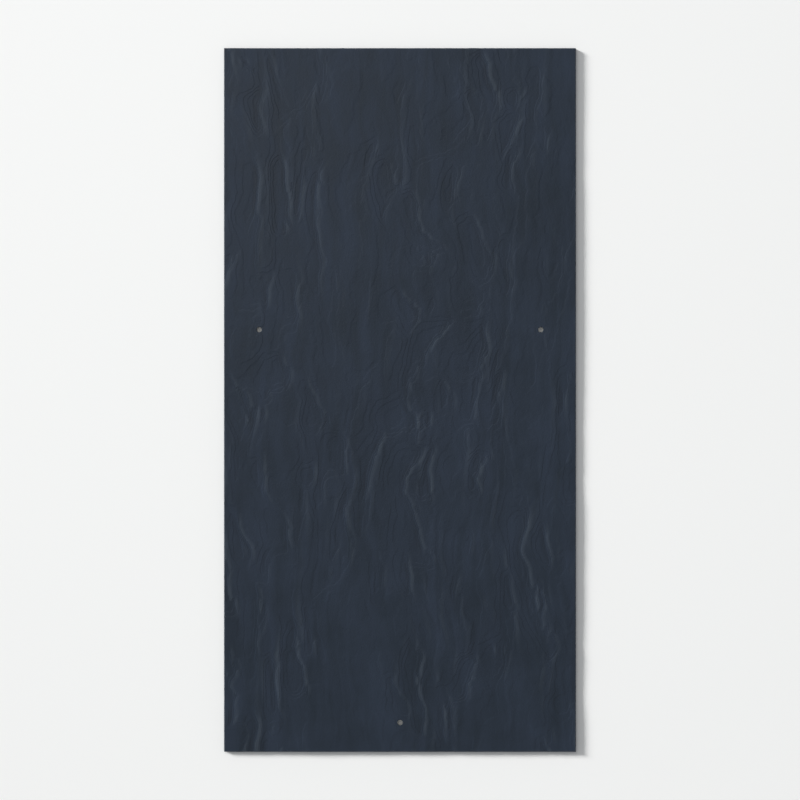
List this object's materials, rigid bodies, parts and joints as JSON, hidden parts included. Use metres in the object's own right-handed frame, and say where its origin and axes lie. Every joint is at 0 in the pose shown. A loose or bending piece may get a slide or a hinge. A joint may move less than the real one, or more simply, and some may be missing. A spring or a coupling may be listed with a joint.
{
  "type": "fibre cement slate",
  "caption": "Flat rectangular fibre cement roofing slate with a riven weather face, two nail holes and a rivet hole near the tail.",
  "frame": {"origin": "middle of the bed, the flat underside that the slate lies on", "axes": "+X across the slate, +Y up the slope from the tail to the head, +Z out of the weather face"},
  "size_m": [0.3, 0.6, 0.004],
  "materials": {
    "coated_fibre_cement": "satin"
  },
  "bodies": {
    "root": {"slate": "coated_fibre_cement"}
  },
  "joints": []
}
